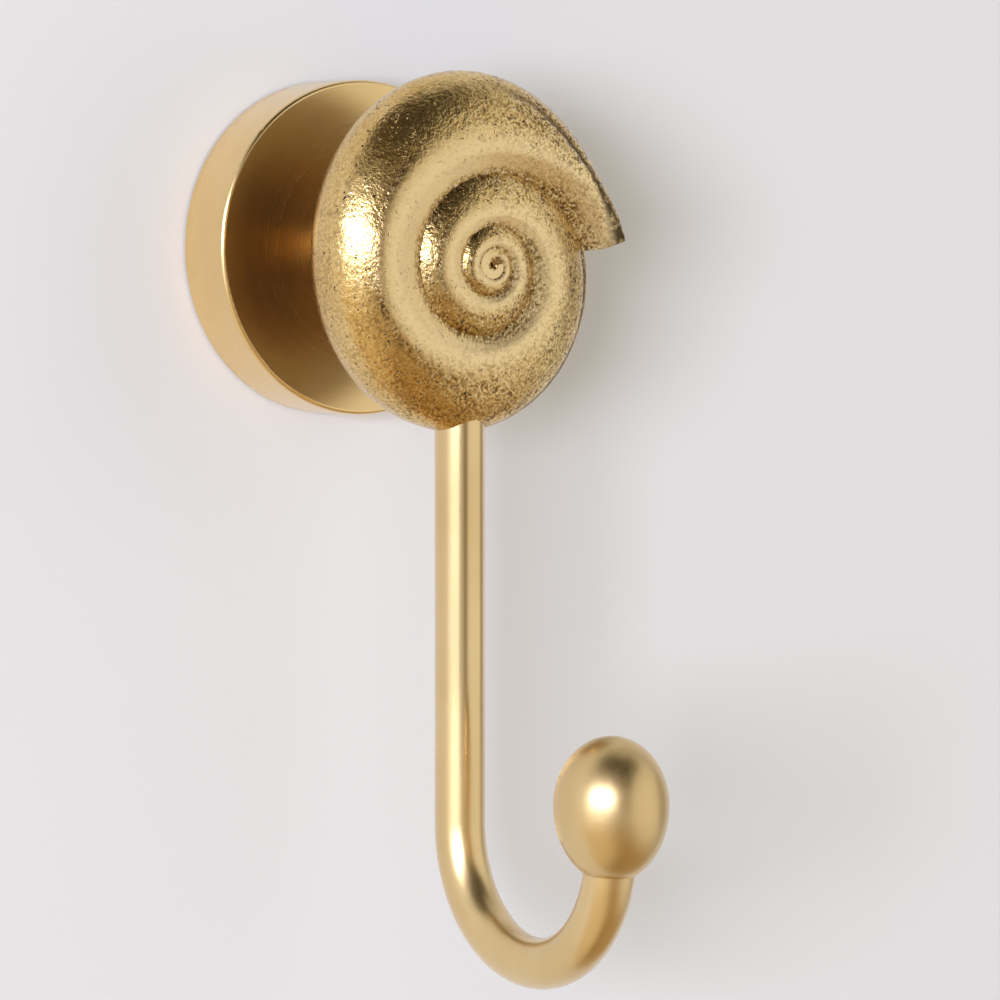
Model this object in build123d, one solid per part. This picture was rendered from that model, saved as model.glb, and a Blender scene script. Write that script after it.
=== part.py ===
from build123d import *
import math
import os

# Bath hook with a cast spiral shell. The wall is the plane Y = 0 and the hook stands out
# towards -Y. The origin is the middle of the rosette's back. All sizes are in millimetres.

# Rosette, a turned cup with its open side to the wall
ROSE_DIAMETER = 54.0
ROSE_DEPTH = 11.0
ROSE_RIM_WALL = 2.0
ROSE_FRONT_WALL = 2.5
ROSE_EDGE_RADIUS = 0.7

# Standoff post, a sleeve between the rosette and the shell
POST_DIAMETER = 12.0
POST_LENGTH = 13.0
POST_CHAMFER = 0.4

# Clamp bolt with a hex head, and its split washer
BOLT_DIAMETER = 6.0
BOLT_HEAD_WIDTH = 10.0
BOLT_HEAD_HEIGHT = 4.0
BOLT_GRIP_IN_SHELL = 10.0
BOLT_END_CHAMFER = 0.8
TAPPED_DEPTH = 11.5
WASHER_DIAMETER = 11.0
WASHER_THICKNESS = 1.6
WASHER_SPLIT = 0.8
WASHER_SPLIT_SLANT = 20.0

# Wall bracket, a strip bent at both ends
BRACKET_WIDTH = 16.0
BRACKET_THICKNESS = 2.0
BRACKET_LOWER_REACH = 20.0
BRACKET_TAB_DEPTH = 7.5
BRACKET_BEND_RADIUS = 1.0
WALL_HOLE_DIAMETER = 5.0
WALL_HOLE_SPACING = 26.0

# Set screw in the underside of the rim
SET_SCREW_DIAMETER = 4.0
SET_SCREW_FROM_WALL = 5.0
SET_SCREW_RECESS = 0.5
SET_SCREW_KEY_WIDTH = 2.0
SET_SCREW_KEY_DEPTH = 2.5
SET_SCREW_POINT_CHAMFER = 0.7

# Hook rod
ROD_DIAMETER = 8.0
ROD_X = 0.6
ROD_FROM_WALL = 37.24
ROD_TOP = -15.0
ROD_TOP_CHAMFER = 0.6
BEND_LEVEL = -90.9
BEND_RADIUS = 20.0
BEND_ANGLE = 165.0
TIP_IN_BALL = 9.0

# Ball tip, an egg that is a little longer below its widest level, set from the rod's end
BALL_DIAMETER = 17.7
BALL_BEYOND_ROD = 2.28
BALL_TOWARDS_STEM = 2.22
BALL_UPPER_HEIGHT = 10.65
BALL_LOWER_HEIGHT = 11.75

# Shell: where its apex is, and how deep the casting is behind the apex
APEX_X = 1.0
APEX_Z = -2.7
SHELL_DEPTH = 22.7
SHELL_PAD_RADIUS = 10.0

# Shell: the rim's distance from the apex, at the lip, top, left, bottom and under the lip
RIM_AT_LIP = 27.7
RIM_AT_TOP = 30.6
RIM_AT_LEFT = 26.2
RIM_AT_BOTTOM = 26.3
RIM_DEPTH_AT_LIP = 10.5

# Shell: the suture is the spiral groove where a whorl meets the one before it
SUTURE_START = 18.5
SUTURE_GROWTH = 2.27
SUTURE_FLARE = 2.0
SUTURE_FLARE_TURN = 120.0
SUTURE_SLOPE = 0.225
SUTURE_SAG = 0.085
SHOULDER_RATIO = 1.45
SHOULDER_WIDENING = 0.10
SHOULDER_LIP_DROP = 0.20
SHOULDER_LIP_TURN = 90.0
SHOULDER_RISE = 0.15
SHOULDER_ROUND_ON_TREAD = 0.4
SHOULDER_ROUND_ON_FLANK = 0.3
LIP_EDGE = 0.4

# Shell: a whorl's flank as a cubic curve, in shares of its width and depth
FLANK_START = (0.45, 0.20)
FLANK_END = (1.0, 0.45)
FLANK_COVER = 0.61
BACK_FULLNESS = 0.5523

# Shell: the pit at the apex, and the slanted end of the last whorl
PIT_RADIUS = 0.6
PIT_EDGE_DEPTH = 0.25
PIT_DEPTH = 1.8
CORE_RADIUS = 1.5
LIP_ANGLE = 6.0
LIP_SLANT = 13.6
LIP_SLANT_START = 24.0

# Room between pieces that fit into each other, and at the end of a blind hole
FIT_CLEARANCE = 0.05
BOLT_CLEARANCE = 0.2
SOCKET_END_GAP = 0.2

SECTIONS_PER_HALF = 9
INNER_WHORLS = 2

ROSE_INNER_RADIUS = ROSE_DIAMETER / 2 - ROSE_RIM_WALL
ROSE_INNER_DEPTH = ROSE_DEPTH - ROSE_FRONT_WALL
SHELL_BACK = ROSE_DEPTH + POST_LENGTH
APEX_FROM_WALL = SHELL_BACK + SHELL_DEPTH
BOLT_HOLE_RADIUS = BOLT_DIAMETER / 2 + BOLT_CLEARANCE


def rod_along_y(radius, start, end):
    """Round bar on the Y axis between two distances from the wall."""
    return extrude(Plane.XZ.offset(start) * Circle(radius), end - start)


def rosette():
    cup = rod_along_y(ROSE_DIAMETER / 2, 0, ROSE_DEPTH)
    front_edge = cup.edges().group_by(Axis.Y)[0]
    cup = fillet(front_edge, ROSE_EDGE_RADIUS)
    cup -= rod_along_y(ROSE_INNER_RADIUS, 0, ROSE_INNER_DEPTH)
    cup -= rod_along_y(BOLT_HOLE_RADIUS, 0, ROSE_DEPTH)
    screw_hole = Circle(SET_SCREW_DIAMETER / 2 + FIT_CLEARANCE)
    screw_place = Pos(0, -SET_SCREW_FROM_WALL, 0)
    return cup - screw_place * extrude(screw_hole, -ROSE_DIAMETER)


def standoff_post():
    post = rod_along_y(POST_DIAMETER / 2, ROSE_DEPTH, SHELL_BACK)
    end_edges = post.edges().filter_by(GeomType.CIRCLE)
    post = chamfer(end_edges, POST_CHAMFER)
    return post - rod_along_y(BOLT_HOLE_RADIUS, ROSE_DEPTH, SHELL_BACK)


def clamp_bolt():
    head_front = ROSE_INNER_DEPTH - WASHER_THICKNESS
    head_back = head_front - BOLT_HEAD_HEIGHT
    hexagon = RegularPolygon(BOLT_HEAD_WIDTH / 2, 6, major_radius=False)
    head = extrude(Plane.XZ.offset(head_back) * hexagon, BOLT_HEAD_HEIGHT)
    shank = rod_along_y(BOLT_DIAMETER / 2, head_front, SHELL_BACK + BOLT_GRIP_IN_SHELL)
    end_edge = shank.edges().group_by(Axis.Y)[0]
    return head + chamfer(end_edge, BOLT_END_CHAMFER)


def lock_washer():
    start = ROSE_INNER_DEPTH - WASHER_THICKNESS
    ring = rod_along_y(WASHER_DIAMETER / 2, start, ROSE_INNER_DEPTH)
    ring -= rod_along_y(BOLT_HOLE_RADIUS, start, ROSE_INNER_DEPTH)
    slit = Box(WASHER_SPLIT, WASHER_DIAMETER, WASHER_DIAMETER)
    middle = -(start + ROSE_INNER_DEPTH) / 2
    slit_place = Pos(0, middle, WASHER_DIAMETER / 2) * Rot(0, 0, WASHER_SPLIT_SLANT)
    return ring - slit_place * slit


def bracket_upper_reach():
    """Height of the upper tab's outer face, where its corners meet the rosette's wall."""
    half_width = BRACKET_WIDTH / 2
    return math.sqrt(ROSE_INNER_RADIUS**2 - half_width**2) - FIT_CLEARANCE


def wall_bracket():
    top = bracket_upper_reach()
    bottom = -BRACKET_LOWER_REACH
    inner_top = top - BRACKET_THICKNESS
    inner_bottom = bottom + BRACKET_THICKNESS
    tab_end = -BRACKET_TAB_DEPTH
    outer = FilletPolyline(
        (tab_end, top), (0, top), (0, bottom), (tab_end, bottom),
        radius=BRACKET_BEND_RADIUS + BRACKET_THICKNESS,
    )
    inner = FilletPolyline(
        (tab_end, inner_top), (-BRACKET_THICKNESS, inner_top),
        (-BRACKET_THICKNESS, inner_bottom), (tab_end, inner_bottom),
        radius=BRACKET_BEND_RADIUS,
    )
    upper_end = Line((tab_end, top), (tab_end, inner_top))
    lower_end = Line((tab_end, bottom), (tab_end, inner_bottom))
    profile = make_face([*outer.edges(), *inner.edges(), upper_end, lower_end])
    strip = extrude(Plane.YZ * profile, BRACKET_WIDTH / 2, both=True)
    hole = rod_along_y(WALL_HOLE_DIAMETER / 2, 0, BRACKET_THICKNESS)
    for side in (1, -1):
        strip -= Pos(0, 0, side * WALL_HOLE_SPACING / 2) * hole
    return strip


def set_screw():
    outer_end = -(ROSE_DIAMETER / 2 - SET_SCREW_RECESS)
    length = -BRACKET_LOWER_REACH - outer_end
    body = extrude(Circle(SET_SCREW_DIAMETER / 2), length)
    point_edge = body.edges().group_by(Axis.Z)[-1]
    body = chamfer(point_edge, SET_SCREW_POINT_CHAMFER)
    key = RegularPolygon(SET_SCREW_KEY_WIDTH / 2, 6, major_radius=False)
    body -= extrude(key, SET_SCREW_KEY_DEPTH)
    return Pos(0, -SET_SCREW_FROM_WALL, outer_end) * body


def hook_path():
    """Centre line of the rod: stem, bend, and the straight tip that the ball hides."""
    top = (-ROD_FROM_WALL, ROD_TOP)
    stem = Line(top, (-ROD_FROM_WALL, BEND_LEVEL))
    bend = JernArc(stem @ 1, stem % 1, BEND_RADIUS, -BEND_ANGLE)
    tip = Line(bend @ 1, bend @ 1 + (bend % 1) * TIP_IN_BALL)
    return Plane.YZ.offset(ROD_X) * Wire([*stem.edges(), *bend.edges(), *tip.edges()])


def hook_rod():
    path = hook_path()
    start = Plane(origin=path @ 0, z_dir=path % 0)
    rod = sweep(start * Circle(ROD_DIAMETER / 2), path=path)
    top_edge = rod.edges().group_by(Axis.Z)[-1]
    return chamfer(top_edge, ROD_TOP_CHAMFER)


def ball_centre():
    """Middle of the ball's widest level, beyond the rod's end and a little towards the stem."""
    path = hook_path()
    along = path % 1
    towards_stem = Vector(0, along.Z, -along.Y)
    return path @ 1 + along * BALL_BEYOND_ROD + towards_stem * BALL_TOWARDS_STEM


def ball_socket():
    """Blind hole in the ball, in line with the rod's straight tip."""
    path = hook_path()
    end = path @ 1
    direction = path % 1
    bottom = Plane(origin=end + direction * SOCKET_END_GAP, z_dir=-direction)
    hole_length = TIP_IN_BALL + BALL_DIAMETER
    return extrude(bottom * Circle(ROD_DIAMETER / 2 + FIT_CLEARANCE), hole_length)


def quarter_ellipse(radius, height):
    """Quarter of an ellipse, from the axis at this height out to its widest point."""
    return Bezier((0, height), (radius, height), (radius, 0), weights=[1, math.sqrt(0.5), 1])


def ball_tip():
    radius = BALL_DIAMETER / 2
    upper = quarter_ellipse(radius, BALL_UPPER_HEIGHT)
    lower = quarter_ellipse(radius, -BALL_LOWER_HEIGHT)
    axis_line = Line(lower @ 0, upper @ 0)
    half = make_face([*upper.edges(), *lower.edges(), *axis_line.edges()])
    egg = revolve(Plane.XZ * half, Axis.Z)
    return Pos(ball_centre()) * egg - ball_socket()


def suture_radius(turn):
    """Suture's distance from the axis, at an angle counted inwards from the lip."""
    sag = 1 - SUTURE_SAG * math.sin(math.radians(LIP_ANGLE + turn))
    flare = SUTURE_FLARE * max(0, 1 - turn / SUTURE_FLARE_TURN) ** 2
    return SUTURE_START * SUTURE_GROWTH ** (-turn / 360) * sag + flare


def flank_share():
    """Shares of the flank's width and depth at the point where the next whorl covers it."""
    u = FLANK_COVER
    weights = (3 * u * (1 - u) ** 2, 3 * u**2 * (1 - u), u**3)
    corners = (FLANK_START, FLANK_END, (1.0, 1.0))
    return [sum(w * c[axis] for w, c in zip(weights, corners)) for axis in (0, 1)]


def shoulder_ratio(turn):
    """Shoulder's radius over the suture's: larger at the sides, and smaller near the lip."""
    widening = SHOULDER_WIDENING * math.cos(math.radians(2 * (LIP_ANGLE + turn)))
    lip_drop = SHOULDER_LIP_DROP * max(0, 1 - turn / SHOULDER_LIP_TURN)
    return SHOULDER_RATIO + widening - lip_drop


def covered_rim(turn):
    """Rim radius and depth under a later whorl, so that the flank meets that whorl's suture."""
    width_share, depth_share = flank_share()
    cover_radius = suture_radius(turn - 360)
    shoulder_radius = shoulder_ratio(turn) * suture_radius(turn)
    shoulder_depth = (SUTURE_SLOPE - SHOULDER_RISE) * suture_radius(turn)
    radius = shoulder_radius + (cover_radius - shoulder_radius) / width_share
    depth = shoulder_depth + (SUTURE_SLOPE * cover_radius - shoulder_depth) / depth_share
    return radius, depth


def rim_radius(turn):
    """Rim's distance from the axis: a smooth curve through the five set radii."""
    angles = [0, 90 - LIP_ANGLE, 180 - LIP_ANGLE, 270 - LIP_ANGLE, 360]
    radii = [RIM_AT_LIP, RIM_AT_TOP, RIM_AT_LEFT, RIM_AT_BOTTOM, covered_rim(360)[0]]
    slopes = []
    for k in range(5):
        before, after = max(k - 1, 0), min(k + 1, 4)
        slopes.append((radii[after] - radii[before]) / (angles[after] - angles[before]))
    k = max(i for i in range(4) if angles[i] <= turn)
    span = angles[k + 1] - angles[k]
    u = (turn - angles[k]) / span
    start = (1 + 2 * u) * (1 - u) ** 2 * radii[k] + u * (1 - u) ** 2 * span * slopes[k]
    end = u**2 * (3 - 2 * u) * radii[k + 1] - u**2 * (1 - u) * span * slopes[k + 1]
    return start + end


def whorl_points(turn):
    """Suture, shoulder and rim of the whorl at this angle, as radius and depth."""
    suture = suture_radius(turn)
    if turn <= 360:
        depth_lost = (RIM_DEPTH_AT_LIP - covered_rim(360)[1]) * turn / 360
        rim = (rim_radius(turn), RIM_DEPTH_AT_LIP - depth_lost)
    else:
        rim = covered_rim(turn)
    groove = (suture, SUTURE_SLOPE * suture)
    shoulder_radius = min(shoulder_ratio(turn) * suture, rim[0] - LIP_EDGE)
    shoulder = (shoulder_radius, (SUTURE_SLOPE - SHOULDER_RISE) * suture)
    return groove, shoulder, rim


def between(first, second, share):
    return tuple(a + (b - a) * share for a, b in zip(first, second))


def split_curve(corners, share):
    """Control points of a cubic curve's two parts, before and after this share of it."""
    first = [corners[0]]
    second = [corners[-1]]
    while len(corners) > 1:
        corners = [between(a, b, share) for a, b in zip(corners, corners[1:])]
        first.append(corners[0])
        second.insert(0, corners[-1])
    return first, second


def flank_curves(turn):
    """Control points of the flank's two parts: shoulder to cover line, cover line to rim."""
    groove, shoulder, rim = whorl_points(turn)
    width = rim[0] - shoulder[0]
    depth = rim[1] - shoulder[1]
    corners = [shoulder]
    for share in (FLANK_START, FLANK_END):
        corners.append((shoulder[0] + share[0] * width, shoulder[1] + share[1] * depth))
    return split_curve([*corners, rim], FLANK_COVER)


def whorl_front(turn):
    """Control points from the cover line in: the flank, the round shoulder and the tread."""
    groove, shoulder, rim = whorl_points(turn)
    inner, outer = flank_curves(turn)
    rounded, slope = split_curve(inner, SHOULDER_ROUND_ON_FLANK)
    tread_start = between(shoulder, groove, SHOULDER_ROUND_ON_TREAD)
    return [slope[::-1], [slope[0], shoulder, tread_start], [tread_start, groove]]


def shell_section(turn):
    """Closed half-section of the shell, from its axis out, at an angle behind the lip."""
    angle = math.radians(LIP_ANGLE + turn)

    def place(point):
        radius, depth = point
        x = APEX_X + radius * math.cos(angle)
        z = APEX_Z + radius * math.sin(angle)
        return Vector(x, depth - APEX_FROM_WALL, z)

    def curve(points):
        return Bezier(*[place(point) for point in points])

    def line(first, second):
        return Line(place(first), place(second))

    core_back = (PIT_RADIUS, SHELL_DEPTH)
    pad_edge = (SHELL_PAD_RADIUS, SHELL_DEPTH)
    groove, shoulder, rim = whorl_points(turn)
    inner, outer = flank_curves(turn)
    knob = flank_curves(turn + 360 * (INNER_WHORLS + 1))[0]
    behind_rim = (rim[0], rim[1] + BACK_FULLNESS * (SHELL_DEPTH - rim[1]))
    beside_pad = (pad_edge[0] + BACK_FULLNESS * (rim[0] - pad_edge[0]), SHELL_DEPTH)
    edges = [
        line(core_back, pad_edge),
        curve([pad_edge, beside_pad, behind_rim, rim]),
        curve(outer[::-1]),
    ]
    for whorl in range(INNER_WHORLS + 1):
        edges += [curve(points) for points in whorl_front(turn + 360 * whorl)]
    pit_edge = (PIT_RADIUS, PIT_EDGE_DEPTH)
    edges.append(curve(knob[::-1]))
    edges.append(line(knob[0], pit_edge))
    edges.append(line(pit_edge, core_back))
    return Wire([edge for item in edges for edge in item.edges()])


def shell_half(first_turn):
    step = 180 / (SECTIONS_PER_HALF - 1)
    turns = [first_turn + step * k for k in range(SECTIONS_PER_HALF)]
    return Solid.make_loft([shell_section(turn) for turn in turns])


def lip_wedge():
    """Thin wedge under the lip, which leaves the last whorl's end slanted."""
    reach = 2 * RIM_AT_LIP
    corners = [(LIP_SLANT_START, 0.0)]
    for slant in (-LIP_SLANT, LIP_SLANT):
        turned = math.radians(slant)
        corners.append((LIP_SLANT_START + reach * math.cos(turned), reach * math.sin(turned)))
    outline = Rot(0, 0, LIP_ANGLE) * make_face(Polyline(*corners, close=True))
    plane = Plane.XZ.offset(SHELL_BACK)
    return Pos(APEX_X, 0, APEX_Z) * extrude(plane * outline, SHELL_DEPTH)


def shell():
    body = shell_half(0).fuse(shell_half(180))
    core = rod_along_y(CORE_RADIUS, SHELL_BACK, APEX_FROM_WALL - PIT_DEPTH)
    body = body + Pos(APEX_X, 0, APEX_Z) * core
    body -= lip_wedge()
    body -= rod_along_y(BOLT_DIAMETER / 2 + FIT_CLEARANCE, SHELL_BACK, SHELL_BACK + TAPPED_DEPTH)
    rod_hole = Circle(ROD_DIAMETER / 2 + FIT_CLEARANCE)
    hole_place = Pos(ROD_X, -ROD_FROM_WALL, ROD_TOP + SOCKET_END_GAP)
    return body - hole_place * extrude(rod_hole, BEND_LEVEL - ROD_TOP)


PIECES = {
    "rosette": rosette,
    "standoff_post": standoff_post,
    "clamp_bolt": clamp_bolt,
    "lock_washer": lock_washer,
    "wall_bracket": wall_bracket,
    "set_screw": set_screw,
    "hook_rod": hook_rod,
    "ball_tip": ball_tip,
    "shell": shell,
}

os.makedirs("parts", exist_ok=True)
for node, make in PIECES.items():
    export_step(make(), f"parts/{node}.step")
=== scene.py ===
import math
import bpy
import numpy as np
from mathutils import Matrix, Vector, geometry, noise


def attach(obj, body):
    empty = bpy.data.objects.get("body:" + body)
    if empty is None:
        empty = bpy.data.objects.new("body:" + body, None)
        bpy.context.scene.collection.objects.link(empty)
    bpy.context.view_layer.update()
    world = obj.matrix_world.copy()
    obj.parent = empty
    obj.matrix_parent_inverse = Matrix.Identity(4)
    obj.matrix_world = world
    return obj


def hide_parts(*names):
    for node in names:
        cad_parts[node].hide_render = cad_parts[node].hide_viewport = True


# The hook hangs on a wall at Y = 0 and stands out towards -Y. Lengths are in metres,
# and in millimetres inside the functions that make the shell.

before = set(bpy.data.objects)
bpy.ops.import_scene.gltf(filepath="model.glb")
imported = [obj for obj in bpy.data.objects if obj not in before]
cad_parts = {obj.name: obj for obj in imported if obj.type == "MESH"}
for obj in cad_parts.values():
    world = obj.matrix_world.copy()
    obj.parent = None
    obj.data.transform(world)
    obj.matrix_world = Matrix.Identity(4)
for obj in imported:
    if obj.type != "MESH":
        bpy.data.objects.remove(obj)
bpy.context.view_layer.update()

MM = 0.001

# The shell's sizes, as in the solid model, in millimetres and degrees
APEX_X = 1.0
APEX_Z = -2.7
APEX_FROM_WALL = 46.7
SHELL_DEPTH = 22.7
PAD_RADIUS = 10.0
RIM_AT_LIP = 27.7
RIM_AT_TOP = 30.6
RIM_AT_LEFT = 26.2
RIM_AT_BOTTOM = 26.3
RIM_DEPTH_AT_LIP = 10.5
SUTURE_START = 18.5
SUTURE_GROWTH = 2.27
SUTURE_FLARE = 2.0
SUTURE_FLARE_TURN = 120.0
SUTURE_SLOPE = 0.225
SUTURE_SAG = 0.085
SHOULDER_RATIO = 1.45
SHOULDER_WIDENING = 0.10
SHOULDER_LIP_DROP = 0.20
SHOULDER_LIP_TURN = 90.0
SHOULDER_RISE = 0.15
SHOULDER_ROUND_ON_TREAD = 0.4
SHOULDER_ROUND_ON_FLANK = 0.3
LIP_EDGE = 0.4
FLANK_START = (0.45, 0.20)
FLANK_END = (1.0, 0.45)
FLANK_COVER = 0.61
BACK_FULLNESS = 0.5523
LIP_ANGLE = 6.0
LIP_SLANT = 13.6
LIP_SLANT_START = 24.0
LIP_SLANT_FADE = 30.0

# The shell's mesh: columns in one turn, turns, and rows across each part of a section
COLUMNS = 480
TURNS = 4
BACK_ROWS = 30
OUTER_ROWS = 20
SLOPE_ROWS = 16
SHOULDER_ROWS = 14
TREAD_ROWS = 10

# Cast skin of the shell, in millimetres. The crests lose a part of the grain.
LUMP_SIZE = 2.6
LUMP_DEPTH = 0.07
GRAIN_SIZE = 0.75
GRAIN_DEPTH = 0.05
GRAIN_LOST_ON_CREST = 0.6
CREASE_DEPTH = 0.35
SHARP_ANGLE = 50

# The innermost whorl fades into a smooth bulb: turn where it starts, length of the fade, slope
BULB_START = 1080.0
BULB_FADE = 180.0
BULB_SLOPE = 0.10

# The pit in the bulb: each ring's share of the last ring's radius and its drop, and the floor
PIT_RINGS = ((0.62, 0.05), (0.40, 0.35), (0.25, 1.2))
PIT_FLOOR = 2.5

# Turns from the lip and what holds there: the row, strength and width of the crease along the rim,
# which the skin darkens as painted shade, and the grit and the shoulder's dark edge, a line of
# painted shade; these two repeat in every turn
CREASE_ROW = ([0, 10, 20, 30, 40, 60, 80, 110, 270, 290, 310, 330, 345, 360],
              [43, 43, 41, 35, 30, 23, 18, 12, 5, 11, 14, 18, 20, 21])
CREASE_STRENGTH = ([0, 40, 60, 85, 270, 300, 360], [1, 0.9, 0.65, 0, 0, 0.8, 0.8])
CREASE_WIDTH = ([0, 6, 15, 30, 60, 360], [10, 8, 5, 3.4, 2.8, 5])
GRIT = ([0, 60, 95, 125, 150, 215, 260, 360], [1, 1, 0.5, 0.2, 0.45, 0.5, 1, 1])
SHOULDER_EDGE = ([110, 140, 240, 275], [0, 0.7, 0.7, 0])

# The hole for the rod in the shell, in millimetres
ROD_HOLE_SIDES = 96
ROD_HOLE_RADIUS = 4.05
ROD_HOLE_X = 0.6
ROD_HOLE_FROM_WALL = 37.24
ROD_HOLE_TOP = -14.8
ROD_HOLE_BOTTOM = -60.0

# Sockets of a colour mix, which share their names with those of its other kinds
MIX_SHARE, MIX_FIRST, MIX_SECOND, MIX_RESULT = 0, 6, 7, 2

# Colours of the satin brass
SATIN_DARKER = (0.73, 0.525, 0.23)
SATIN_LIGHTER = (0.79, 0.585, 0.28)

# The wall: a ring from behind the rosette outwards, a little behind the hook's back
WALL_SIDES = 64
WALL_HOLE = 0.0235
WALL_RADIUS = 0.55
WALL_PLACE = 0.0004

# The studio: its plain colour, and patches laid over it one after the other. Each has the
# azimuth and elevation of its middle, the angles where it starts and is full, and its colour.
STUDIO_COLOUR = (0.56, 0.555, 0.55, 1)
STUDIO_PATCHES = (
    (-20, -80, 74, 38, (0.44, 0.30, 0.145, 1)),
    (-27, -74, 20, 7, (0.28, 0.18, 0.08, 1)),
    (-76, -46, 46, 18, (0.78, 0.64, 0.45, 1)),
    (42, 4, 55, 22, (0.90, 0.875, 0.84, 1)),
    (90, 0, 26, 10, (0.42, 0.38, 0.33, 1)),
    (-9, 4, 14, 8, (0.28, 0.22, 0.16, 1)),
    (-8, 32, 22, 12, (0.22, 0.18, 0.14, 1)),
    (-34, 63, 32, 12, (0.07, 0.045, 0.015, 1)),
    (40, 54, 18, 8, (0.18, 0.15, 0.11, 1)),
    (8, 52, 24, 12, (0.05, 0.04, 0.025, 1)),
)
LAMP_TARGET = (0, -0.04, -0.04)
LAMP_WHITE = (0.97, 0.99, 1.22)

# The camera stands at the azimuth and distance from the target. It looks a little to the right
# of it and down, by shifts that are in the same unit as the focal length.
CAMERA_SENSOR = 36.0
CAMERA_LENS = 183.06
CAMERA_FAR = 20.0
CAMERA_AZIMUTH = -35
CAMERA_DISTANCE = 0.8
CAMERA_TARGET = (0, -0.03816, 0)
FOCAL_LENGTH = 5085
SHIFT_RIGHT = 40.1
SHIFT_DOWN = 252.4


def suture_radius(turn):
    """Suture's distance from the axis, at angles counted inwards from the lip."""
    sag = 1 - SUTURE_SAG * np.sin(np.radians(LIP_ANGLE + turn))
    flare = SUTURE_FLARE * np.maximum(0, 1 - turn / SUTURE_FLARE_TURN) ** 2
    return SUTURE_START * SUTURE_GROWTH ** (-turn / 360) * sag + flare


def shoulder_radius(turn):
    """Shoulder's distance from the axis: larger at the sides, and smaller near the lip."""
    widening = SHOULDER_WIDENING * np.cos(np.radians(2 * (LIP_ANGLE + turn)))
    lip_drop = SHOULDER_LIP_DROP * np.maximum(0, 1 - turn / SHOULDER_LIP_TURN)
    return (SHOULDER_RATIO + widening - lip_drop) * suture_radius(turn)


def covered_rim(turn):
    """Rim radius and depth under a later whorl, so that the flank meets that whorl's suture."""
    u = FLANK_COVER
    weights = (3 * u * (1 - u) ** 2, 3 * u**2 * (1 - u), u**3)
    corners = (FLANK_START, FLANK_END, (1.0, 1.0))
    width, depth = [sum(w * c[axis] for w, c in zip(weights, corners)) for axis in (0, 1)]
    cover = suture_radius(turn - 360)
    shoulder = shoulder_radius(turn)
    shoulder_depth = (SUTURE_SLOPE - SHOULDER_RISE) * suture_radius(turn)
    return (shoulder + (cover - shoulder) / width,
            shoulder_depth + (SUTURE_SLOPE * cover - shoulder_depth) / depth)


def rim_radius(turn):
    """Rim's distance from the axis: a smooth curve through the five set radii."""
    angles = np.array([0, 90 - LIP_ANGLE, 180 - LIP_ANGLE, 270 - LIP_ANGLE, 360])
    radii = np.array([RIM_AT_LIP, RIM_AT_TOP, RIM_AT_LEFT, RIM_AT_BOTTOM, covered_rim(360)[0]])
    before = np.maximum(np.arange(5) - 1, 0)
    after = np.minimum(np.arange(5) + 1, 4)
    slopes = (radii[after] - radii[before]) / (angles[after] - angles[before])
    k = np.clip(np.searchsorted(angles, turn, side="right") - 1, 0, 3)
    span = angles[k + 1] - angles[k]
    u = (turn - angles[k]) / span
    start = (1 + 2 * u) * (1 - u) ** 2 * radii[k] + u * (1 - u) ** 2 * span * slopes[k]
    end = u**2 * (3 - 2 * u) * radii[k + 1] - u**2 * (1 - u) * span * slopes[k + 1]
    return start + end


def bezier(corners, shares):
    """Points of a curve with three or four corners, given as radius and depth per column."""
    u = shares[None, :, None]
    points = [np.stack(corner, axis=-1)[:, None, :] for corner in corners]
    while len(points) > 1:
        points = [a + (b - a) * u for a, b in zip(points, points[1:])]
    return points[0]


def shell_sections(turn):
    """Radius and depth of every point, from the pad's edge round the rim to the suture."""
    suture = suture_radius(turn)
    outside = np.minimum(turn, 360)
    under = covered_rim(np.maximum(turn, 360))
    depth_now = RIM_DEPTH_AT_LIP - (RIM_DEPTH_AT_LIP - covered_rim(360)[1]) * outside / 360
    rim = (np.where(turn > 360, under[0], rim_radius(outside)),
           np.where(turn > 360, under[1], depth_now))
    groove = (suture, SUTURE_SLOPE * suture)
    shoulder = (np.minimum(shoulder_radius(turn), rim[0] - LIP_EDGE),
                (SUTURE_SLOPE - SHOULDER_RISE) * suture)
    width, depth = rim[0] - shoulder[0], rim[1] - shoulder[1]
    flank = [shoulder]
    for share in (FLANK_START, FLANK_END):
        flank.append((shoulder[0] + share[0] * width, shoulder[1] + share[1] * depth))
    flank.append(rim)
    pad = (np.full_like(turn, PAD_RADIUS), np.full_like(turn, SHELL_DEPTH))
    behind_rim = (rim[0], rim[1] + BACK_FULLNESS * (SHELL_DEPTH - rim[1]))
    beside_pad = (pad[0] + BACK_FULLNESS * (rim[0] - pad[0]), pad[1])
    round_start = FLANK_COVER * SHOULDER_ROUND_ON_FLANK
    flank_end = bezier(flank, np.array([round_start]))[:, 0].T
    tread_start = [a + (b - a) * SHOULDER_ROUND_ON_TREAD for a, b in zip(shoulder, groove)]
    parts = [
        bezier([pad, beside_pad, behind_rim, rim], np.linspace(0, 1, BACK_ROWS + 1)),
        bezier(flank, np.linspace(1, FLANK_COVER, OUTER_ROWS + 1))[:, 1:],
        bezier(flank, np.linspace(FLANK_COVER, round_start, SLOPE_ROWS + 1))[:, 1:],
        bezier([flank_end, shoulder, tread_start], np.linspace(0, 1, SHOULDER_ROWS + 1))[:, 1:],
        bezier([tread_start, groove], np.linspace(0, 1, TREAD_ROWS + 1))[:, 1:],
    ]
    return np.concatenate(parts, axis=1)


def lip_offset(radius, turn):
    """Turn added near the lip, so that the last whorl ends on its slanted line."""
    beyond = np.maximum(radius - LIP_SLANT_START, 0)
    slant = np.degrees(beyond * math.tan(math.radians(LIP_SLANT)) / np.maximum(radius, 1))
    fade = np.clip(1 - turn / LIP_SLANT_FADE, 0, 1)
    return slant * fade


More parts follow.
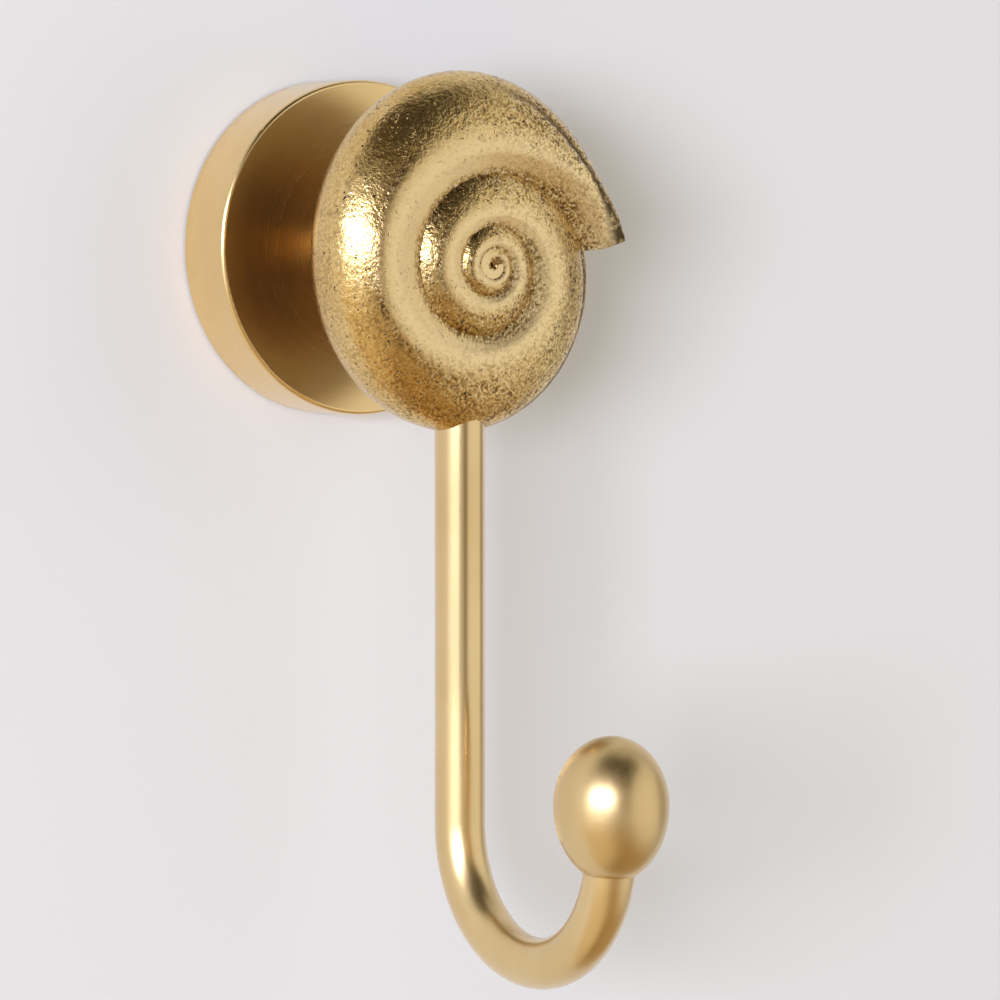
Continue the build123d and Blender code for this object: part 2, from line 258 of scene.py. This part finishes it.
def bulb_share(turn):
    """How far the innermost whorl has become the smooth bulb at the apex."""
    u = np.clip((turn - BULB_START) / BULB_FADE, 0, 1)
    return u * u * (3 - 2 * u)


def near(value, middle, width):
    """One at the middle, and nothing at the width from it."""
    return np.clip(1 - np.abs(value - middle) / width, 0, 1)


def shell_skin(turn, rows, cover):
    """The skin at each point: its crests and grit, painted shade in its grooves, along the rim
    crease and on the back, and a painted warm reflection low on the left.
    """
    front = SLOPE_ROWS + SHOULDER_ROWS + TREAD_ROWS
    turn = turn[:, None]
    row = np.arange(rows)[None, :]
    share = (row - cover) / front
    flank_end = SLOPE_ROWS / front
    outermost = turn <= 360
    bulb = bulb_share(turn)

    polished = np.clip((share - flank_end + 0.15) / 0.4, 0, 1) * np.clip((1.05 - share) / 0.2, 0, 1)
    polished_lip = 0.7 * np.clip(1.2 - turn / 30, 0, 1) * np.clip((share + 0.4) / 0.3, 0, 1)
    crest = np.maximum(np.maximum(polished, polished_lip), bulb)

    # Painted shade: darker bands in the grooves beside each suture, wider low on the right, and
    # where the flank meets the outer whorl. The same mark also roughens the skin.
    low_right = np.clip(np.cos(np.radians(LIP_ANGLE + turn + 25)), 0, 1)
    inner_edge = np.clip(1 - (1 - share) / (0.10 + 0.20 * low_right), 0, 1)
    outer_edge = near(share, 0, 0.3) * (turn >= 360)
    # Painted shade: a dark line along the shoulder, on the left side of each whorl only.
    shoulder_edge = near(share, 0.37, 0.08) * np.interp(turn % 360, *SHOULDER_EDGE)
    groove = np.maximum(np.maximum(inner_edge, outer_edge), shoulder_edge) * (1 - bulb)

    gritty_lip = 1.2 * np.clip(1.3 - turn / 60, 0, 1)
    gritty_rim = 0.40 * np.clip((-0.05 - share) / 0.4, 0, 1) * outermost
    grit = np.maximum((np.interp(turn % 360, *GRIT) + gritty_lip) * (1 - bulb), gritty_rim)

    # Painted reflection: this mark browns the lower left of the outer whorl's flank, standing for
    # the warm floor reflected there.
    floor_reflection = near(turn, 232, 70) * near(share, 0.05, 0.5)

    # The crease sunk along the rim is real; this mark also darkens it in colour, as painted shade.
    off_crease = np.abs(row - (BACK_ROWS + np.interp(turn, *CREASE_ROW)))
    crease = np.clip(1.5 - 1.5 * off_crease / np.interp(turn, *CREASE_WIDTH), 0, 1)
    rim = crease * np.interp(turn, *CREASE_STRENGTH) * outermost

    # Painted shade: this mark makes the back, which faces the rosette, dark brown.
    back_shade = np.clip((0.85 - row / BACK_ROWS) / 0.25, 0, 1) * np.ones_like(turn)
    return {"crest": crest, "groove": groove, "grit": grit,
            "floor_reflection": floor_reflection, "rim": rim, "back_shade": back_shade}


def shell_mesh():
    """The shell as one closed mesh: back, outer flank, and a strip that winds to the apex."""
    turn = np.arange(TURNS * COLUMNS + 1) * (360 / COLUMNS)
    sections = shell_sections(turn)
    cover = BACK_ROWS + OUTER_ROWS
    rows = sections.shape[1]
    radius, depth = sections[..., 0], sections[..., 1]
    groove = suture_radius(turn - 360)[:, None]
    level = SUTURE_SLOPE * groove + BULB_SLOPE * (groove - radius)
    depth = depth + (level - depth) * bulb_share(turn)[:, None]
    angle = np.radians(LIP_ANGLE + turn[:, None] + lip_offset(radius, turn[:, None]))
    points = np.stack([APEX_X + radius * np.cos(angle), depth - APEX_FROM_WALL,
                       APEX_Z + radius * np.sin(angle)], axis=-1)

    skin = shell_skin(turn, rows, cover)
    index = -np.ones(points.shape[:2], int)
    kept = []
    marks = {name: [] for name in skin}

    def keep(k, j):
        index[k, j] = len(kept)
        kept.append(points[k, j])
        for name in skin:
            marks[name].append(skin[name][k, j])

    for k in range(len(turn)):
        first = 0 if k <= COLUMNS else cover
        for j in range(first, rows):
            if j == cover and k >= COLUMNS:
                index[k, j] = index[k - COLUMNS, rows - 1]
            elif j == 0 and k == COLUMNS:
                index[k, j] = index[0, 0]
            else:
                keep(k, j)

    faces = []
    for k in range(len(turn) - 1):
        for j in range(0 if k < COLUMNS else cover, rows - 1):
            faces.append((index[k, j], index[k + 1, j], index[k + 1, j + 1], index[k, j + 1]))

    def extra(point, fill):
        kept.append(np.array(point))
        for name in skin:
            marks[name].append(1.0 if name == fill else 0.0)
        return len(kept) - 1

    back_middle = extra((APEX_X, SHELL_DEPTH - APEX_FROM_WALL, APEX_Z), "back_shade")
    for k in range(COLUMNS):
        faces.append((back_middle, index[k + 1, 0], index[k, 0]))

    first = (TURNS - 1) * COLUMNS
    loop = [index[k, rows - 1] for k in range(first, TURNS * COLUMNS + 1)]
    loop += [index[TURNS * COLUMNS, j] for j in range(rows - 2, cover, -1)]
    # The pit's rings and floor carry the groove mark, so the pit is painted dark as shade.
    for share, drop in PIT_RINGS:
        ring = []
        for i in loop:
            x, y, z = kept[i]
            x, z = APEX_X + (x - APEX_X) * share, APEX_Z + (z - APEX_Z) * share
            ring.append(extra((x, y + drop, z), "groove"))
        for i in range(len(loop)):
            n = (i + 1) % len(loop)
            faces.append((loop[i], loop[n], ring[n], ring[i]))
        loop = ring
    pit = extra((APEX_X, PIT_FLOOR - APEX_FROM_WALL, APEX_Z), "groove")
    for i in range(len(loop)):
        faces.append((loop[i], loop[(i + 1) % len(loop)], pit))

    lip = [index[0, j] for j in range(rows)]
    lip += [index[COLUMNS, j] for j in range(cover - 1, 0, -1)]
    flat = [Vector((math.hypot(x - APEX_X, z - APEX_Z), y, 0))
            for x, y, z in (kept[i] for i in lip)]
    for a, b, c in geometry.tessellate_polygon([flat]):
        faces.append((lip[a], lip[b], lip[c]))

    mesh = bpy.data.meshes.new("shell_casting")
    mesh.from_pydata([tuple(p * MM) for p in kept], [], faces)
    mesh.validate()
    for name, values in marks.items():
        layer = mesh.attributes.new(name, "FLOAT", "POINT")
        layer.data.foreach_set("value", np.array(values, np.float32))
    mesh.update()
    return mesh


def roughen(mesh):
    """Sinks lumps and grain into the casting, less on its crests, and a crease along its rim."""
    count = len(mesh.vertices)
    place = np.empty(count * 3, np.float32)
    normal = np.empty(count * 3, np.float32)
    crest = np.empty(count, np.float32)
    rim = np.empty(count, np.float32)
    mesh.vertices.foreach_get("co", place)
    mesh.vertices.foreach_get("normal", normal)
    mesh.attributes["crest"].data.foreach_get("value", crest)
    mesh.attributes["rim"].data.foreach_get("value", rim)
    place, normal = place.reshape(-1, 3), normal.reshape(-1, 3)
    sink = np.empty(count)
    for i in range(count):
        p = Vector(place[i]) / MM
        lump = 0.5 + 0.5 * noise.noise(p / LUMP_SIZE)
        grain = 0.5 + 0.5 * noise.noise(p / GRAIN_SIZE)
        left = 1 - GRAIN_LOST_ON_CREST * crest[i]
        sink[i] = LUMP_DEPTH * lump + GRAIN_DEPTH * grain * left
        sink[i] += CREASE_DEPTH * rim[i] * (0.4 + 0.6 * grain)
    place = (place - normal * sink[:, None] * MM).astype(np.float32)
    mesh.vertices.foreach_set("co", place.ravel())
    mesh.update()


def smooth(mesh):
    """Smooth shading, except across sharp edges."""
    mesh.polygons.foreach_set("use_smooth", [True] * len(mesh.polygons))
    mesh.set_sharp_from_angle(angle=math.radians(SHARP_ANGLE))


class Shader:
    """A node material with one Principled surface."""

    def __init__(self, name):
        self.material = bpy.data.materials.new(name)
        self.material.use_nodes = True
        self.nodes = self.material.node_tree.nodes
        self.links = self.material.node_tree.links
        self.surface = self.nodes["Principled BSDF"]
        self.place = self.add("ShaderNodeTexCoord").outputs["Object"]

    def add(self, kind, inputs=None, **settings):
        """New node with its settings, its inputs linked or set."""
        node = self.nodes.new(kind)
        for key, value in settings.items():
            setattr(node, key, value)
        for key, value in (inputs or {}).items():
            self.feed(node, key, value)
        return node

    def feed(self, node, key, value):
        """Links a socket to an input, or sets the input to a constant."""
        socket = node.inputs[key]
        if isinstance(value, bpy.types.NodeSocket):
            self.links.new(value, socket)
        else:
            socket.default_value = value

    def noise(self, scale, detail=2.0, stretch=None, place=None):
        """Noise from 0 to 1, drawn out along the axes with a stretch below 1."""
        vector = place or self.place
        if stretch:
            mapping = self.add("ShaderNodeMapping", {"Vector": vector, "Scale": stretch})
            vector = mapping.outputs["Vector"]
        node = self.add("ShaderNodeTexNoise", {"Vector": vector, "Scale": scale, "Detail": detail})
        return node.outputs["Fac"]

    def ramp(self, value, low, high, to_low=0.0, to_high=1.0):
        """Straight ramp between two values, level beyond them."""
        node = self.add("ShaderNodeMapRange", {"Value": value, "From Min": low, "From Max": high,
                                               "To Min": to_low, "To Max": to_high})
        return node.outputs["Result"]

    def mix(self, share, first, second):
        """Colour between the first and the second."""
        node = self.add("ShaderNodeMix", data_type="RGBA")
        self.feed(node, MIX_SHARE, share)
        self.feed(node, MIX_FIRST, first)
        self.feed(node, MIX_SECOND, second)
        return node.outputs[MIX_RESULT]

    def maths(self, operation, first, second):
        node = self.add("ShaderNodeMath", {0: first, 1: second}, operation=operation)
        return node.outputs["Value"]

    def bump(self, height, distance, strength=1.0, under=None):
        """Bumped normal, on top of another one if that is given."""
        inputs = {"Height": height, "Distance": distance, "Strength": strength}
        if under is not None:
            inputs["Normal"] = under
        return self.add("ShaderNodeBump", inputs).outputs["Normal"]

    def set(self, **inputs):
        """Feeds the surface. The names have underscores for spaces."""
        for key, value in inputs.items():
            self.feed(self.surface, key.replace("_", " "), value)


def satin_brass(name, marks_along, roughness, softer_below=None, tone=1.0, lacquer=0.4):
    """Lacquered satin brass. Its brush marks run along an axis, or round Y where it was turned."""
    s = Shader(name)
    cloud = s.noise(60.0, 3.0)
    if marks_along == "round":
        split = s.add("ShaderNodeSeparateXYZ", {"Vector": s.place})
        flat = s.add("ShaderNodeCombineXYZ", {"X": split.outputs["X"], "Z": split.outputs["Z"]})
        radius = s.add("ShaderNodeVectorMath", {0: flat.outputs["Vector"]}, operation="LENGTH")
        rings = s.add("ShaderNodeCombineXYZ",
                      {"X": radius.outputs["Value"], "Y": split.outputs["Y"]})
        marks = s.noise(1800.0, 2.0, place=rings.outputs["Vector"])
    else:
        marks = s.noise(1500.0, 2.0, marks_along)
    darker, lighter = [(*(part * tone for part in shade), 1)
                       for shade in (SATIN_DARKER, SATIN_LIGHTER)]
    colour = s.mix(s.ramp(cloud, 0.35, 0.7), darker, lighter)
    low, high = roughness
    satin = s.ramp(marks, 0.3, 0.7, low, high)
    if softer_below is not None:
        height = s.add("ShaderNodeSeparateXYZ", {"Vector": s.place}).outputs["Z"]
        satin = s.maths("ADD", satin, s.ramp(height, softer_below, softer_below - 0.02, 0.0, 0.12))
    s.set(Base_Color=colour, Metallic=1.0, Roughness=satin, Normal=s.bump(marks, 0.000006, 0.15),
          Coat_Weight=lacquer, Coat_Roughness=0.22)
    return s.material


def cast_brass():
    """Sand-cast brass: grainy and pitted on the flanks, smoother and paler on the treads, with
    painted shade in the grooves, the rim crease and on the back, a painted warm reflection low on
    the left and painted glints in the grain.
    """
    s = Shader("cast_brass")
    crest, groove, grit, floor_reflection, rim, back_shade = [
        s.add("ShaderNodeAttribute", attribute_name=name).outputs["Fac"]
        for name in ("crest", "groove", "grit", "floor_reflection", "rim", "back_shade")]
    grain = s.noise(2300.0, 1.5)
    dimples = s.noise(1050.0, 2.0)
    patch = s.noise(85.0, 3.0)
    holes = s.ramp(s.noise(1700.0, 4.0), 0.375, 0.325)
    some = s.ramp(s.noise(260.0, 3.0), 0.40, 0.55)
    pits = s.maths("MULTIPLY", holes, s.maths("MULTIPLY", some, s.ramp(crest, 0.3, 0.9, 1.0, 0.35)))
    flank = s.maths("MULTIPLY", s.ramp(crest, 0.2, 0.9, 1.0, 0.3), grit)
    rough = s.maths("MAXIMUM", flank, s.ramp(groove, 0.0, 0.5))
    specks = s.maths("MAXIMUM", s.ramp(grain, 0.48, 0.38), s.ramp(dimples, 0.45, 0.37))
    clumps = s.ramp(s.noise(420.0, 2.0), 0.38, 0.62, 0.45, 1.0)
    dark = s.maths("MULTIPLY", specks, s.maths("MULTIPLY", rough, clumps))
    # Painted glints: pale, nearly white flecks in the rough grain stand for sparkle.
    light = s.maths("MULTIPLY", s.ramp(grain, 0.55, 0.66), rough)
    body = s.mix(s.ramp(patch, 0.35, 0.65), (0.70, 0.47, 0.165, 1), (0.80, 0.575, 0.235, 1))
    pale = s.mix(s.ramp(crest, 0.2, 0.9, 0.0, 0.85), body, (0.88, 0.69, 0.37, 1))
    # Painted warm reflection of the floor: this mark browns the lower left of the outer flank.
    brown = s.mix(s.ramp(floor_reflection, 0.1, 0.9, 0.0, 0.5), pale, (0.62, 0.36, 0.10, 1))
    # Painted shade in the grooves, along the shoulder's left edge and in the pit.
    shaded_grooves = s.mix(s.ramp(groove, 0.0, 1.0, 0.0, 0.65), brown, (0.40, 0.255, 0.085, 1))
    dotted = s.mix(s.ramp(dark, 0.0, 1.0, 0.0, 0.95), shaded_grooves, (0.17, 0.09, 0.02, 1))
    bright = s.mix(s.ramp(light, 0.0, 1.0, 0.0, 0.55), dotted, (0.98, 0.84, 0.56, 1))
    # Painted shade: a dark, matt, non-metal line in the rim crease.
    rim_shade = s.maths("MULTIPLY", rim, s.ramp(dimples, 0.28, 0.44))
    edged = s.mix(rim_shade, bright, (0.06, 0.042, 0.015, 1))
    pitted = s.mix(pits, edged, (0.05, 0.03, 0.01, 1))
    # Painted shade on the back, where it faces the rosette.
    colour = s.mix(s.ramp(back_shade, 0.0, 1.0, 0.0, 0.85), pitted, (0.20, 0.125, 0.05, 1))
    relief = s.maths("MAXIMUM", rough, s.ramp(crest, 0.2, 0.9, 0.75, 0.3))
    low_bump = s.bump(dimples, 0.00012, s.ramp(relief, 0.3, 1.0, 0.2, 0.9))
    fine_bump = s.bump(grain, 0.00008, s.ramp(relief, 0.3, 1.0, 0.2, 1.0), low_bump)
    gloss = s.ramp(crest, 0.2, 0.9, 0.22, 0.36)
    dull = s.maths("MAXIMUM", gloss, s.ramp(rim_shade, 0.0, 1.0, 0.0, 0.7))
    s.set(Base_Color=colour, Metallic=s.ramp(rim_shade, 0.0, 1.0, 1.0, 0.0), Roughness=dull,
          Specular_IOR_Level=0.0, Normal=s.bump(pits, -0.0001, 0.7, fine_bump),
          Coat_Weight=0.15, Coat_Roughness=0.30, Coat_Normal=fine_bump)
    return s.material


def zinc_steel():
    """Zinc-plated steel, cloudy and drawn along Z."""
    s = Shader("zinc_steel")
    marks = s.noise(900.0, 3.0, (1.0, 1.0, 0.15))
    cloud = s.noise(120.0, 3.0)
    colour = s.mix(s.ramp(cloud, 0.35, 0.65), (0.56, 0.57, 0.58, 1), (0.66, 0.67, 0.68, 1))
    s.set(Base_Color=colour, Metallic=1.0, Roughness=s.ramp(marks, 0.3, 0.7, 0.30, 0.45),
          Normal=s.bump(marks, 0.00003, 0.3))
    return s.material


def dark_steel():
    """Steel with a black oxide."""
    s = Shader("dark_steel")
    grain = s.noise(1500.0, 2.0)
    colour = s.mix(s.ramp(grain, 0.35, 0.65), (0.10, 0.10, 0.11, 1), (0.19, 0.19, 0.20, 1))
    s.set(Base_Color=colour, Metallic=0.9, Roughness=s.ramp(grain, 0.3, 0.7, 0.40, 0.55),
          Normal=s.bump(grain, 0.00003, 0.3))
    return s.material


def dress(node, material):
    """Gives a solid that stays as it is its material."""
    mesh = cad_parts[node].data
    mesh.materials.clear()
    mesh.materials.append(material)


def rod_hole():
    """Round bar that is cut out of the shell where the rod goes in."""
    sides = ROD_HOLE_SIDES
    angles = [math.tau * i / sides for i in range(sides)]
    ring = [(ROD_HOLE_X + ROD_HOLE_RADIUS * math.cos(angle),
             ROD_HOLE_RADIUS * math.sin(angle) - ROD_HOLE_FROM_WALL) for angle in angles]
    points = [(x * MM, y * MM, z * MM) for z in (ROD_HOLE_BOTTOM, ROD_HOLE_TOP) for x, y in ring]
    faces = [tuple(reversed(range(sides))), tuple(range(sides, 2 * sides))]
    for i in range(sides):
        n = (i + 1) % sides
        faces.append((i, n, sides + n, sides + i))
    mesh = bpy.data.meshes.new("rod_hole")
    mesh.from_pydata(points, [], faces)
    return bpy.data.objects.new("rod_hole", mesh)


def make_shell():
    """The casting that stands for the shell's solid, with the rod's hole cut into it."""
    whole = shell_mesh()
    roughen(whole)
    shell = bpy.data.objects.new("shell_casting", whole)
    hole = rod_hole()
    for item in (shell, hole):
        bpy.context.scene.collection.objects.link(item)
    cut = shell.modifiers.new("rod_hole", "BOOLEAN")
    cut.operation = "DIFFERENCE"
    cut.solver = "MANIFOLD"
    cut.object = hole
    seen = shell.evaluated_get(bpy.context.evaluated_depsgraph_get())
    mesh = bpy.data.meshes.new_from_object(seen)
    shell.modifiers.clear()
    shell.data = mesh
    bpy.data.objects.remove(hole)
    smooth(mesh)
    mesh.materials.clear()
    mesh.materials.append(cast_brass())
    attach(shell, "root")
    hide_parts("shell")


def make_wall():
    """Pale wall behind the hook, seen from its front only, with a hole behind the rosette."""
    angles = [math.tau * i / WALL_SIDES for i in range(WALL_SIDES)]
    corners = [(radius * math.cos(angle), WALL_PLACE, radius * math.sin(angle))
               for radius in (WALL_HOLE, WALL_RADIUS) for angle in angles]
    faces = []
    for i in range(WALL_SIDES):
        n = (i + 1) % WALL_SIDES
        faces.append((i, WALL_SIDES + i, WALL_SIDES + n, n))
    mesh = bpy.data.meshes.new("wall")
    mesh.from_pydata(corners, [], faces)
    wall = bpy.data.objects.new("wall", mesh)
    bpy.context.scene.collection.objects.link(wall)
    s = Shader("wall_paint")
    cloud = s.noise(1.6, 2.0)
    s.set(Base_Color=s.mix(cloud, (0.812, 0.82, 0.80, 1), (0.832, 0.84, 0.82, 1)),
          Roughness=0.9, Specular_IOR_Level=0.0)
    behind = s.add("ShaderNodeNewGeometry").outputs["Backfacing"]
    clear = s.add("ShaderNodeBsdfTransparent").outputs["BSDF"]
    both = s.add("ShaderNodeMixShader", {0: behind, 1: s.surface.outputs["BSDF"], 2: clear})
    s.links.new(both.outputs["Shader"], s.nodes["Material Output"].inputs["Surface"])
    mesh.materials.append(s.material)


def direction(azimuth, elevation):
    """Unit vector away from the hook: azimuth 0 is straight out from the wall, 90 to the right."""
    a, e = math.radians(azimuth), math.radians(elevation)
    return Vector((math.sin(a) * math.cos(e), -math.cos(a) * math.cos(e), math.sin(e)))


def make_lamp(name, azimuth, elevation, distance, width, height, radiance, tint, on_metal=True,
              on_wall=True):
    """Soft box towards the hook. Its power follows from its size and its brightness, and it may
    be kept out of the metal's reflections or off the wall."""
    light = bpy.data.lights.new(name, "AREA")
    light.shape = "RECTANGLE"
    light.size = width
    light.size_y = height
    light.energy = radiance * math.pi * width * height
    light.color = tint
    lamp = bpy.data.objects.new(name, light)
    bpy.context.scene.collection.objects.link(lamp)
    away = direction(azimuth, elevation)
    lamp.location = Vector(LAMP_TARGET) + away * distance
    lamp.rotation_mode = "QUATERNION"
    lamp.rotation_quaternion = (-away).to_track_quat("-Z", "Y")
    lamp.visible_camera = False
    lamp.visible_glossy = on_metal
    lamp.visible_diffuse = on_wall


def make_world():
    """Pale studio surroundings: lighter on the right, warm below, dark overhead and in front."""
    world = bpy.data.worlds.new("studio")
    world.use_nodes = True
    bpy.context.scene.world = world
    nodes, links = world.node_tree.nodes, world.node_tree.links
    way = nodes.new("ShaderNodeTexCoord").outputs["Generated"]
    colour = STUDIO_COLOUR
    for azimuth, elevation, outer, inner, tint in STUDIO_PATCHES:
        along = nodes.new("ShaderNodeVectorMath")
        along.operation = "DOT_PRODUCT"
        along.inputs[1].default_value = direction(azimuth, elevation)
        links.new(way, along.inputs[0])
        inside = nodes.new("ShaderNodeMapRange")
        inside.interpolation_type = "SMOOTHSTEP"
        inside.inputs["From Min"].default_value = math.cos(math.radians(outer))
        inside.inputs["From Max"].default_value = math.cos(math.radians(inner))
        links.new(along.outputs["Value"], inside.inputs["Value"])
        mix = nodes.new("ShaderNodeMix")
        mix.data_type = "RGBA"
        links.new(inside.outputs["Result"], mix.inputs[MIX_SHARE])
        if isinstance(colour, tuple):
            mix.inputs[MIX_FIRST].default_value = colour
        else:
            links.new(colour, mix.inputs[MIX_FIRST])
        mix.inputs[MIX_SECOND].default_value = tint
        colour = mix.outputs[MIX_RESULT]
    links.new(colour, nodes["Background"].inputs["Color"])


def make_camera():
    """Camera at the photograph's angle."""
    camera = bpy.data.cameras.new("camera")
    camera.sensor_width = CAMERA_SENSOR
    camera.lens = CAMERA_LENS
    camera.clip_end = CAMERA_FAR
    seen = bpy.data.objects.new("camera", camera)
    bpy.context.scene.collection.objects.link(seen)
    bpy.context.scene.camera = seen
    back = direction(CAMERA_AZIMUTH, 0)
    right = Vector((-back.y, back.x, 0))
    seen.location = Vector(CAMERA_TARGET) + back * CAMERA_DISTANCE
    aim = -back * FOCAL_LENGTH + right * SHIFT_RIGHT - Vector((0, 0, SHIFT_DOWN))
    seen.rotation_mode = "QUATERNION"
    seen.rotation_quaternion = aim.to_track_quat("-Z", "Y")


# The rosette's brass is made a tenth paler than the rest, as painted light.
dress("rosette", satin_brass("satin_brass_rosette", "round", (0.24, 0.28), tone=1.1, lacquer=0.6))
dress("standoff_post", satin_brass("satin_brass_post", "round", (0.24, 0.28)))
dress("hook_rod", satin_brass("satin_brass_rod", (1.0, 1.0, 0.04), (0.17, 0.20),
                              softer_below=-0.065, lacquer=0.9))
# The ball's brass is made a little darker than the rest, as painted shade.
dress("ball_tip", satin_brass("satin_brass_ball", (1.0, 1.0, 0.3), (0.31, 0.35), tone=0.94))
steel = zinc_steel()
dress("wall_bracket", steel)
dress("clamp_bolt", steel)
dress("lock_washer", steel)
dress("set_screw", dark_steel())
make_shell()
make_wall()
make_world()
make_lamp("soft_box", -66, -2, 3.0, 3.00, 2.05, 0.55, (0.92, 1.0, 1.2))
make_lamp("soft_box_core", -55, 12, 2.8, 2.20, 0.85, 9.5, LAMP_WHITE, on_wall=False)
make_lamp("key", -49, 2, 2.8, 0.95, 0.65, 24.0, LAMP_WHITE, on_metal=False)
make_camera()

bpy.context.scene.view_settings.view_transform = "Standard"
